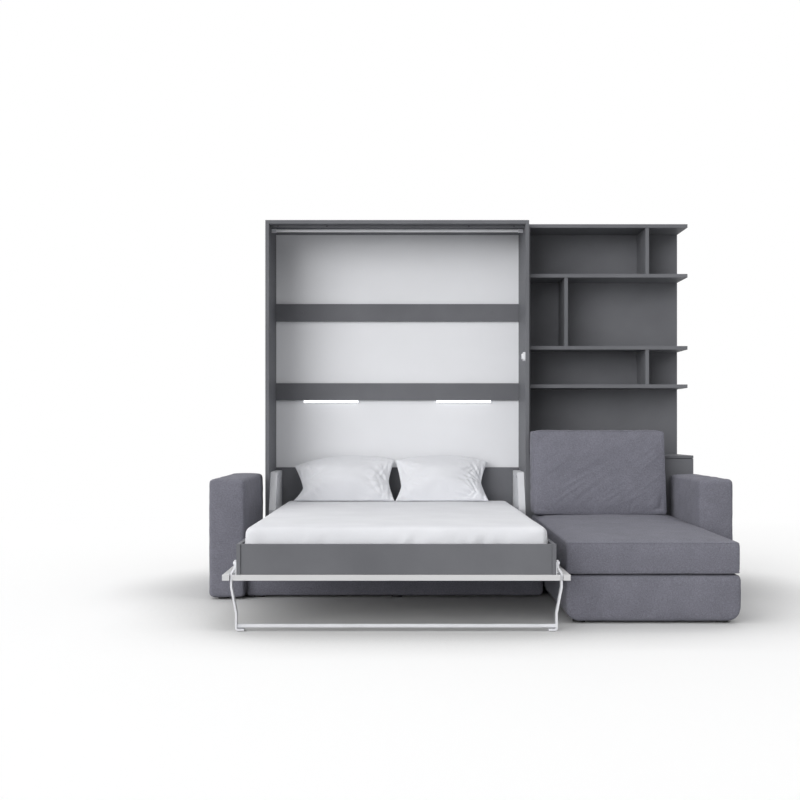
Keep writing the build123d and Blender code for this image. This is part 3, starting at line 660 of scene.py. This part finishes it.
def makeSeatCushion(spec):
    lo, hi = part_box(spec["node"])
    lo.z += spec["lift"]
    hi.z = spec["frontTop"]
    piece = newPiece("chaise_seat_cover", blockShape(lo, hi, spec["edge"]), "sofa_fabric")
    remesh(piece, spec["voxel"])
    rumple(piece, spec["slack"], spec["slackPitch"], spec["slackSeed"])
    simulate(piece, spec, held=nearEdges(lo, hi, spec["hold"]))
    middle = (lo + hi) / 2
    half = (hi - lo) / 2

    def raised(co):
        across = (co.x - middle.x) / half.x
        along = (co.y - middle.y) / half.y
        height = max(0.0, (co.z - lo.z) / (hi.z - lo.z))
        dome = max(0.0, 1 - across ** spec["crownAcross"]) * max(0.0, 1 - along ** spec["crownAlong"])
        slope = (spec["backTop"] - spec["frontTop"]) * (along + 1) / 2
        return Vector((co.x, co.y, co.z + spec["crown"] * dome * height ** spec["crownUp"] + slope * height))

    for vertex in piece.data.vertices:
        vertex.co = raised(vertex.co)
    finishSoft(piece, "cabinet", spec["node"])
    outline = roundedLoop(2 * half.x, 2 * half.y, spec["edge"], spec["weltStep"])
    for name, z in (("upper", hi.z - spec["weltDown"]), ("lower", lo.z + spec["weltUp"])):
        points = [raised(Vector((p.x + middle.x, p.y + middle.y, z))) for p in outline]
        welt(f"chaise_seat_{name}_welt", points, spec["weltRadius"], piece, "sofa_fabric")


makeSeatCushion(seatCushion)


# chaise back cushion: a boxed cushion that leans on the bookcase base, with slack cloth on its face

backCushion = {
    "node": "chaise_back_cushion", "left": 0.7930, "right": 1.566, "foot": 0.4225, "head": 0.906,
    "footBack": 0.500, "headBack": 0.4514, "footThick": 0.165, "headThick": 0.135,
    "edge": 0.016, "voxel": 0.0085,
    "pressure": 4.0, "frames": 18, "cap": 0.015, "hold": 0.035, "shrink": -0.01, "bending": 0.25,
    "creases": 0.0044, "slant": 34.0, "creasePitch": (4.0, 28), "creaseSeed": 4.2, "creaseMargin": 0.06,
    "patchPitch": (4.4, 5.2), "patchSeed": 9.6, "patchLevel": 0.45, "frontDepth": 0.05,
    "weltRadius": 0.0030, "weltStep": 0.02, "weltInset": 0.006,
}


def makeBackCushion(spec):
    thick = spec["footThick"]
    lo = Vector((spec["left"], -thick, spec["foot"]))
    hi = Vector((spec["right"], 0.0, spec["head"]))
    slant = math.radians(spec["slant"])

    def lean(co):
        share = (co.z - lo.z) / (hi.z - lo.z)
        backU = spec["footBack"] + (spec["headBack"] - spec["footBack"]) * share
        thin = (thick + (spec["headThick"] - thick) * share) / thick
        return Vector((co.x, wallY - backU + co.y * thin, co.z))

    def crease(co):
        # long slanting folds of slack cloth, deeper in patches and gone at the seams
        along = co.x * math.cos(slant) + co.z * math.sin(slant)
        across = co.z * math.cos(slant) - co.x * math.sin(slant)
        longWay, crossWay = spec["creasePitch"]
        fold = 1 - 2 * abs(noise.noise(Vector((along * longWay, across * crossWay, spec["creaseSeed"]))))
        patchX, patchZ = spec["patchPitch"]
        patch = noise.noise(Vector((co.x * patchX, co.z * patchZ, spec["patchSeed"])))
        patch = max(0.0, spec["patchLevel"] + patch)
        gap = min(co.x - lo.x, hi.x - co.x, co.z - lo.z, hi.z - co.z)
        return fold * patch * max(0.0, min(1.0, gap / spec["creaseMargin"]))

    piece = newPiece("chaise_back_cover", blockShape(lo, hi, spec["edge"], segments=4), "sofa_fabric")
    remesh(piece, spec["voxel"])
    simulate(piece, spec, held=nearEdges(lo, hi, spec["hold"]))
    outline = roundedLoop(hi.x - lo.x, hi.z - lo.z, spec["edge"], spec["weltStep"])
    middle = (lo + hi) / 2
    for vertex in piece.data.vertices:
        front = max(0.0, min(1.0, (middle.y - vertex.co.y) / spec["frontDepth"]))
        vertex.co.y -= spec["creases"] * crease(vertex.co) * front
        vertex.co = lean(vertex.co)
    finishSoft(piece, "cabinet", spec["node"])
    for name, y in (("front", lo.y + spec["weltInset"]), ("rear", hi.y - spec["weltInset"])):
        points = [lean(Vector((p.x + middle.x, y, p.y + middle.z))) for p in outline]
        welt(f"chaise_back_{name}_welt", points, spec["weltRadius"], piece, "sofa_fabric")


makeBackCushion(backCushion)


# mattress and its fitted sheet, tucked in between the boards

mattressCore = {"inset": 0.013, "edge": 0.03}
fittedSheet = {
    "inset": 0.003, "edge": 0.032, "voxel": 0.0178, "hem": 0.035, "hemHold": 0.012, "thick": 0.0012,
    "ripple": 0.0016, "rippleScale": 3.2,
    "pressure": 1.2, "frames": 14, "cap": 0.006, "bending": 0.15, "looseShrink": -0.05, "looseDrop": 0.08,
    "folds": 0.0200, "slant": 24.0, "foldStart": 0.015, "foldRun": 0.04,
    "foldPitch": (22, 5), "foldSeed": 6.1, "foldLimit": 0.3, "foldRest": 0.1,
    "patchPitch": 2.4, "patchSeed": 1.7, "patchLevel": 0.6, "patchLeast": 0.2,
}


def makeMattress(core, spec):
    lo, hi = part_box("mattress")
    shrink = Vector((core["inset"],) * 3)
    bm = blockShape(lo + shrink, hi - shrink, core["edge"], segments=4)
    body = newPiece("mattress_core", bm, "bed_linen")
    finishSoft(body, "bed", "mattress")

    shrink = Vector((spec["inset"],) * 3)
    bm = blockShape(lo + shrink, hi - shrink, spec["edge"], segments=4)
    cover = newPiece("fitted_sheet", bm, "bed_linen")
    remesh(cover, spec["voxel"])
    bm = bmesh.new()
    bm.from_mesh(cover.data)
    under = [face for face in bm.faces if face.calc_center_median().z < lo.z + spec["hem"]]
    bmesh.ops.delete(bm, geom=under, context="FACES")
    for vert in bm.verts:
        vert.co.z += spec["ripple"] * (noise.noise(vert.co * spec["rippleScale"]) - slackSink)
    bm.to_mesh(cover.data)
    bm.free()
    hemTop = lo.z + spec["hem"] + spec["hemHold"]
    skirt = hi.z - spec["edge"] / 2
    slant = math.tan(math.radians(spec["slant"]))

    def held(co):
        return 1.0 if co.z < hemTop or co.z > skirt else 0.0

    def loose(co):
        return max(0.0, min(1.0, (hi.z - co.z) / spec["looseDrop"]))

    simulate(cover, spec, held=held, loose=loose)
    runPitch, downPitch = spec["foldPitch"]
    for vertex in cover.data.vertices:      # soft slanting folds down the drop
        co = vertex.co
        depth = max(0.0, min(1.0, (hi.z - spec["foldStart"] - co.z) / spec["foldRun"]))
        run = co.x + co.y - co.z * slant
        patch = noise.noise(Vector((run * spec["patchPitch"], 0, spec["patchSeed"])))
        patch = max(spec["patchLeast"], spec["patchLevel"] + patch)
        fold = noise.noise(Vector((run * runPitch, co.z * downPitch, spec["foldSeed"]))) * patch
        fold = max(-spec["foldLimit"], min(spec["foldLimit"], fold))
        side = 1.0 if min(co.x - lo.x, hi.x - co.x) < min(co.y - lo.y, hi.y - co.y) else 0.0
        push = Vector((math.copysign(side, co.x), math.copysign(1 - side, co.y - (lo.y + hi.y) / 2), 0))
        vertex.co = co + push * (spec["folds"] * depth * (fold - spec["foldRest"]))
    smoothFinish(cover)
    skin = cover.modifiers.new("thickness", "SOLIDIFY")
    skin.thickness = spec["thick"]
    skin.offset = -1.0
    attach(cover, "bed")
    print("soft piece: fitted_sheet", len(cover.data.vertices), "points")


makeMattress(mattressCore, fittedSheet)


# pillows: two flat cases, blown up from seam to seam, set to their outline and leaned on the headboard

pillowCase = {
    "cell": 0.0075, "spare": (0.05, 0.05), "seam": 0.012, "crumple": 0.004, "crumpleScale": 9, "calm": 5,
    "pressure": 4.0, "frames": 26, "cap": 0.4, "tension": 40, "bending": 0.08, "quality": 6,
    "lean": 30.0, "plump": 0.165, "rise": 0.02, "pinchShape": 1.35, "standoff": 0.0006,
    "creases": 0.017, "creaseReach": 0.075, "fanPitch": (4.2, 5), "fanLevel": 0.3,
}
# pinch is how far each side draws in, deepest at the height pinchAt;
# corner is the top corners' height as a share of the peak's
pillows = [
    {
        "node": "left_pillow", "seed": 3.1, "wider": 0.016, "corner": (0.76, 0.90), "peak": 0.12,
        "pinch": (0.058, 0.036), "pinchAt": (-0.14, -0.02),
    },
    {
        "node": "right_pillow", "seed": 8.7, "wider": 0.0, "corner": (0.90, 0.86), "peak": 0.0,
        "pinch": (0.036, 0.044), "pinchAt": (-0.14, -0.03),
    },
]
creaseKnots = [
    Vector((-0.42, -0.08)),
    Vector((0.45, -0.12)),
    Vector((0.43, 0.40)),
    Vector((-0.46, 0.38)),
    Vector((0.40, -0.46)),
]
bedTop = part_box("mattress")[1].z


def drawnIn(up, deepest, shape):
    # how far a pillow's side draws in between its corners: 1 at the deepest place, 0 at both ends
    reach = 0.5 - deepest if up > deepest else 0.5 + deepest
    return max(0.0, 1 - (abs(up - deepest) / reach) ** shape)


def fannedCreases(spec, seed, local, width, length):
    # creases fan out from the drawn-in sides and the corners
    total = 0.0
    turnPitch, outPitch = spec["fanPitch"]
    for knot in creaseKnots:
        arm = Vector((local.x - knot.x * width, local.y - knot.y * length))
        inward = -math.copysign(arm.x, knot.x * arm.x)
        bearing = math.atan2(arm.y, inward)
        spot = Vector((bearing * turnPitch, arm.length * outPitch, seed + knot.x))
        fan = spec["fanLevel"] - abs(noise.noise(spot))
        total += fan * math.exp(-((arm.length - spec["creaseReach"]) / spec["creaseReach"]) ** 2)
    return total


def makePillow(spec, one):
    lo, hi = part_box(one["node"])
    lean = math.radians(spec["lean"])
    width = hi.x - lo.x
    length = (hi.z - lo.z) / math.cos(lean)
    tall = length + spec["rise"]
    flat = (width + spec["spare"][0], length + spec["spare"][1])
    bm = bmesh.new()
    cells = [round(side / spec["cell"]) for side in flat]
    bmesh.ops.create_grid(bm, x_segments=cells[0], y_segments=cells[1], size=0.5)
    bmesh.ops.scale(bm, vec=(flat[0], flat[1], 1), verts=bm.verts)
    bmesh.ops.solidify(bm, geom=bm.verts[:] + bm.edges[:] + bm.faces[:], thickness=spec["seam"])
    bmesh.ops.recalc_face_normals(bm, faces=bm.faces)
    # each point's place on the flat case, -0.5 to 0.5 between the seams
    onCase = [(vert.co.x / flat[0], vert.co.y / flat[1]) for vert in bm.verts]
    for vert in bm.verts:
        spot = vert.co * spec["crumpleScale"] + Vector((0, 0, one["seed"]))
        vert.co.z += spec["crumple"] * noise.noise(spot)
    piece = newPiece(one["node"] + "_case", bm, "bed_linen")
    simulate(piece, spec)
    bm = bmesh.new()
    bm.from_mesh(piece.data)
    for turn in range(spec["calm"]):
        bmesh.ops.smooth_vert(bm, verts=bm.verts, factor=0.5, use_axis_z=True)
    heights = [vert.co.z for vert in bm.verts]
    bm.free()
    peak = 2 * max(abs(height) for height in heights)

    middle = (lo + hi) / 2
    upright = Matrix.Rotation(math.pi / 2 - lean, 3, "X")
    for vertex, (across, up), height in zip(piece.data.vertices, onCase, heights):
        pinches = [
            deep * drawnIn(up, at, spec["pinchShape"]) for deep, at in zip(one["pinch"], one["pinchAt"])
        ]
        left = -width / 2 - one["wider"] + pinches[0]
        right = width / 2 - pinches[1]
        offPeak = 2 * across - one["peak"]
        away = offPeak / (1 - math.copysign(one["peak"], offPeak))
        drop = (1 - one["corner"][1 if away > 0 else 0]) * away ** 2      # a straight foot and a rounded head
        local = Vector((
            left + (right - left) * (across + 0.5),
            tall * (up + 0.5) * (1 - drop) - length / 2,
            spec["plump"] * height / peak,
        ))
        if height > 0:
            local.z += spec["creases"] * fannedCreases(spec, one["seed"], local, width, length)
        place = upright @ local + middle
        place.z = max(place.z, bedTop + spec["standoff"])
        vertex.co = place
    finishSoft(piece, "bed", one["node"])
    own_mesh(piece)


for one in pillows:
    makePillow(pillowCase, one)


# caps over the wall fixings, and the screws of the stop strip

smallHeads = {
    "wall_fixing_caps": {
        "finish": "anthracite_laminate", "radius": 0.0075, "taper": 0.86, "depth": 0.002, "fromWall": 0.058,
        "spots": [(-0.6, 1.654), (0.6, 1.654), (-0.6, 0.506), (0.6, 0.506)],
    },
    "stop_strip_screws": {
        "finish": "black_steel", "radius": 0.0045, "taper": 0.86, "depth": 0.0014, "fromWall": 0.400,
        "spots": [(-0.719, 2.1415), (-0.424, 2.1415), (0.432, 2.1415), (0.704, 2.1415)],
    },
}


def makeHeads(name, spec):
    bm = bmesh.new()
    for x, z in spec["spots"]:
        made = bmesh.ops.create_cone(
            bm, cap_ends=True, segments=24, depth=spec["depth"],
            radius1=spec["radius"], radius2=spec["radius"] * spec["taper"],
        )["verts"]
        bmesh.ops.rotate(bm, verts=made, cent=(0, 0, 0), matrix=Matrix.Rotation(math.pi / 2, 3, "X"))
        bmesh.ops.translate(bm, verts=made, vec=(x, wallY - spec["fromWall"] - spec["depth"] / 2, z))
    piece = newPiece(name, bm, spec["finish"])
    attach(piece, "cabinet")


for name, spec in smallHeads.items():
    makeHeads(name, spec)
print("soft pieces and small heads done")
